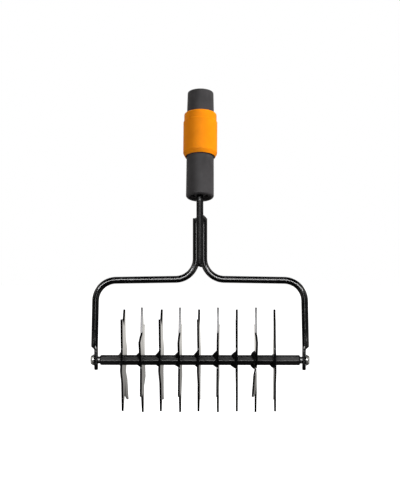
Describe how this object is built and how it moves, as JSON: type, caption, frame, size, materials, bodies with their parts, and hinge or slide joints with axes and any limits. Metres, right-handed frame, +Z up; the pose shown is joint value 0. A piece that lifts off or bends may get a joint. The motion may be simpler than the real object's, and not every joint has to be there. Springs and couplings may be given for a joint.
{
  "type": "core aerator",
  "caption": "Hand-held aerator head: spiked star wheels on a hexagonal axle that turns in a bent-rod yoke, under a quick-release socket for a pole.",
  "frame": {"origin": "on the socket's axis, where the straight wall of its bore starts, just inside the mouth", "axes": "+X along the axle to the right, +Y to the back, +Z up with the yoke upright; the socket's axis leans back 18 degrees from +Z towards +Y"},
  "size_m": [0.205, 0.0988, 0.305],
  "materials": {
    "black_paint": "gloss black powder coat",
    "charcoal_plastic": "fine-textured moulded nylon",
    "orange_plastic": "satin moulded plastic",
    "zinc_steel": "bright zinc plate",
    "dark_steel": "oiled dark steel",
    "spring_steel": "bright drawn steel"
  },
  "bodies": {
    "yoke": {"left_yoke_rod": "black_paint", "right_yoke_rod": "black_paint", "neck_rod": "black_paint", "yoke_weld_beads": "black_paint", "socket_body": "charcoal_plastic", "mouth_collar": "charcoal_plastic", "rod_anchor": "charcoal_plastic", "rod_pin": "spring_steel", "retaining_ring": "spring_steel", "sleeve_spring": "spring_steel"},
    "roller": {"axle_bar": "black_paint", "star_wheel_1": "black_paint", "star_wheel_2": "black_paint", "star_wheel_3": "black_paint", "star_wheel_4": "black_paint", "star_wheel_5": "black_paint", "star_wheel_6": "black_paint", "star_wheel_7": "black_paint", "star_wheel_8": "black_paint", "star_wheel_9": "black_paint", "star_weld_1": "black_paint", "star_weld_2": "black_paint", "star_weld_3": "black_paint", "star_weld_4": "black_paint", "star_weld_5": "black_paint", "star_weld_6": "black_paint", "star_weld_7": "black_paint", "star_weld_8": "black_paint", "star_weld_9": "black_paint", "left_axle_screw": "zinc_steel", "left_washer": "zinc_steel", "left_pivot_bush": "dark_steel", "right_axle_screw": "zinc_steel", "right_washer": "zinc_steel", "right_pivot_bush": "dark_steel"},
    "sleeve": {"release_sleeve": "orange_plastic"},
    "ball_1": {"lock_ball_1": "spring_steel"},
    "ball_2": {"lock_ball_2": "spring_steel"},
    "ball_3": {"lock_ball_3": "spring_steel"}
  },
  "joints": [
    {"name": "roller_spin", "type": "hinge", "parent": "yoke", "child": "roller", "pos_m": [0, -0.02721, -0.2511], "axis": [1, 0, 0], "continuous": true},
    {"name": "sleeve_slide", "type": "slide", "parent": "yoke", "child": "sleeve", "axis": [0, -0.309, -0.9511], "range_m": [0, 0.007], "stiffness_N_per_m": 800, "springref_m": -0.004, "deforming": ["sleeve_spring"]},
    {"name": "ball_1_slide", "type": "slide", "parent": "yoke", "child": "ball_1", "axis": [1, 0, 0], "range_m": [0, 0.00111]},
    {"name": "ball_2_slide", "type": "slide", "parent": "yoke", "child": "ball_2", "axis": [-0.5, 0.8236, -0.2676], "range_m": [0, 0.00111]},
    {"name": "ball_3_slide", "type": "slide", "parent": "yoke", "child": "ball_3", "axis": [-0.5, -0.8236, 0.2676], "range_m": [0, 0.00111]}
  ],
  "couplings": [
    {"joint": "ball_1_slide", "follows": "sleeve_slide", "ratio": 0.15714},
    {"joint": "ball_2_slide", "follows": "sleeve_slide", "ratio": 0.15714},
    {"joint": "ball_3_slide", "follows": "sleeve_slide", "ratio": 0.15714}
  ]
}
